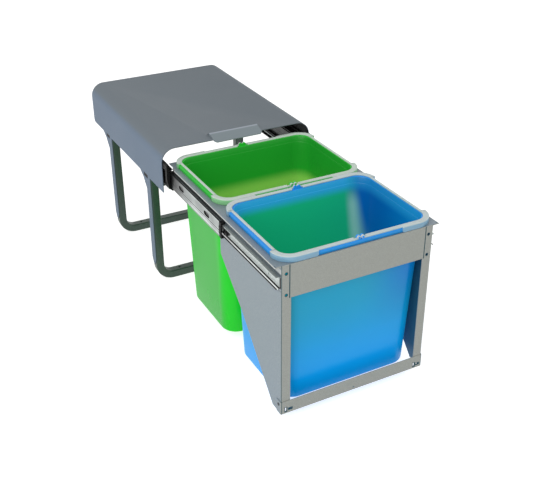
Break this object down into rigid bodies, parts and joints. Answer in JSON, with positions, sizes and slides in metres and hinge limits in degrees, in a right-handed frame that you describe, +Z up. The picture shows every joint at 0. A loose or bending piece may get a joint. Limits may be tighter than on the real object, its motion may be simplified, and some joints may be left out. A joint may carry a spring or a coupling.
{
  "type": "pull out bin frame",
  "caption": "Pull out frame for kitchen waste bins: a folded steel drawer on ball slides under a moulded cover, standing on bent tube bows.",
  "frame": {"origin": "on the cabinet floor, at the centre of the four floor screw holes", "axes": "+Z up, -Y towards the person who pulls the drawer out, +X to that person's right"},
  "size_m": [0.3408, 0.9197, 0.3569],
  "materials": {
    "cover": "satin grey moulding",
    "black_plastic": "black moulding",
    "bow": "dark grey powder coat",
    "carrier": "black paint",
    "zinc": "bright zinc",
    "cage": "bare strip",
    "balls": "polished",
    "frame_steel": "metallic grey powder coat",
    "blue_bin": "translucent blue",
    "green_bin": "translucent green",
    "clear_handle": "milky natural plastic"
  },
  "bodies": {
    "base": {"top_cover": "cover", "cover_clips": "black_plastic", "front_bow": "bow", "rear_bow": "bow", "bow_screws": "zinc", "outer_rail_screws": "zinc", "left_carrier": "carrier", "right_carrier": "carrier", "left_carrier_cap": "black_plastic", "right_carrier_cap": "black_plastic", "left_outer_rail": "zinc", "right_outer_rail": "zinc"},
    "drawer": {"bin_tray": "frame_steel", "left_side_panel": "frame_steel", "right_side_panel": "frame_steel", "bottom_rail": "frame_steel", "frame_rivets": "zinc", "left_inner_rail": "zinc", "right_inner_rail": "zinc", "inner_rail_rivets": "zinc"},
    "front_bin": {"front_bin": "blue_bin"},
    "rear_bin": {"rear_bin": "green_bin"},
    "left_middle": {"left_middle_rail": "zinc", "left_middle_buffer": "black_plastic"},
    "left_outer_cage": {"left_outer_cage": "cage", "left_outer_balls": "balls"},
    "left_inner_cage": {"left_inner_cage": "cage", "left_inner_balls": "balls"},
    "left_lever": {"left_release_lever": "black_plastic"},
    "right_middle": {"right_middle_rail": "zinc", "right_middle_buffer": "black_plastic"},
    "right_outer_cage": {"right_outer_cage": "cage", "right_outer_balls": "balls"},
    "right_inner_cage": {"right_inner_cage": "cage", "right_inner_balls": "balls"},
    "right_lever": {"right_release_lever": "black_plastic"},
    "front_bin_left_handle": {"front_bin_left_handle": "clear_handle"},
    "front_bin_right_handle": {"front_bin_right_handle": "clear_handle"},
    "rear_bin_left_handle": {"rear_bin_left_handle": "clear_handle"},
    "rear_bin_right_handle": {"rear_bin_right_handle": "clear_handle"}
  },
  "joints": [
    {"name": "drawer_slide", "type": "slide", "parent": "base", "child": "drawer", "axis": [0, -1, 0], "range_m": [-0.45, 0]},
    {"name": "left_middle_slide", "type": "slide", "parent": "base", "child": "left_middle", "axis": [0, -1, 0], "range_m": [-0.2439, 0]},
    {"name": "left_outer_cage_slide", "type": "slide", "parent": "base", "child": "left_outer_cage", "axis": [0, -1, 0], "range_m": [-0.12195, 0]},
    {"name": "left_inner_cage_slide", "type": "slide", "parent": "base", "child": "left_inner_cage", "axis": [0, -1, 0], "range_m": [-0.34695, 0]},
    {"name": "left_lever_hinge", "type": "hinge", "parent": "drawer", "child": "left_lever", "pos_m": [-0.153, -0.4767, 0.2893], "axis": [-1, 0, 0], "range_deg": [0, 8], "stiffness_Nm_per_rad": 0.05},
    {"name": "right_middle_slide", "type": "slide", "parent": "base", "child": "right_middle", "axis": [0, -1, 0], "range_m": [-0.2439, 0]},
    {"name": "right_outer_cage_slide", "type": "slide", "parent": "base", "child": "right_outer_cage", "axis": [0, -1, 0], "range_m": [-0.12195, 0]},
    {"name": "right_inner_cage_slide", "type": "slide", "parent": "base", "child": "right_inner_cage", "axis": [0, -1, 0], "range_m": [-0.34695, 0]},
    {"name": "right_lever_hinge", "type": "hinge", "parent": "drawer", "child": "right_lever", "pos_m": [0.153, -0.4767, 0.2893], "axis": [1, 0, 0], "range_deg": [0, 8], "stiffness_Nm_per_rad": 0.05},
    {"name": "front_bin_lift", "type": "slide", "parent": "drawer", "child": "front_bin", "axis": [0, 0, 1], "range_m": [0, 0.33]},
    {"name": "front_bin_left_handle_hinge", "type": "hinge", "parent": "front_bin", "child": "front_bin_left_handle", "pos_m": [-0.0013, -0.5656, 0.3348], "axis": [0, 1, 0], "range_deg": [0, 88]},
    {"name": "front_bin_right_handle_hinge", "type": "hinge", "parent": "front_bin", "child": "front_bin_right_handle", "pos_m": [0.0063, -0.5656, 0.3348], "axis": [0, -1, 0], "range_deg": [0, 88]},
    {"name": "rear_bin_lift", "type": "slide", "parent": "drawer", "child": "rear_bin", "axis": [0, 0, 1], "range_m": [0, 0.33]},
    {"name": "rear_bin_left_handle_hinge", "type": "hinge", "parent": "rear_bin", "child": "rear_bin_left_handle", "pos_m": [-0.0013, -0.3356, 0.3348], "axis": [0, 1, 0], "range_deg": [0, 88]},
    {"name": "rear_bin_right_handle_hinge", "type": "hinge", "parent": "rear_bin", "child": "rear_bin_right_handle", "pos_m": [0.0063, -0.3356, 0.3348], "axis": [0, -1, 0], "range_deg": [0, 88]}
  ],
  "couplings": [
    {"joint": "left_middle_slide", "follows": "drawer_slide", "ratio": 0.542},
    {"joint": "left_outer_cage_slide", "follows": "drawer_slide", "ratio": 0.271},
    {"joint": "left_inner_cage_slide", "follows": "drawer_slide", "ratio": 0.771},
    {"joint": "right_middle_slide", "follows": "drawer_slide", "ratio": 0.542},
    {"joint": "right_outer_cage_slide", "follows": "drawer_slide", "ratio": 0.271},
    {"joint": "right_inner_cage_slide", "follows": "drawer_slide", "ratio": 0.771}
  ]
}
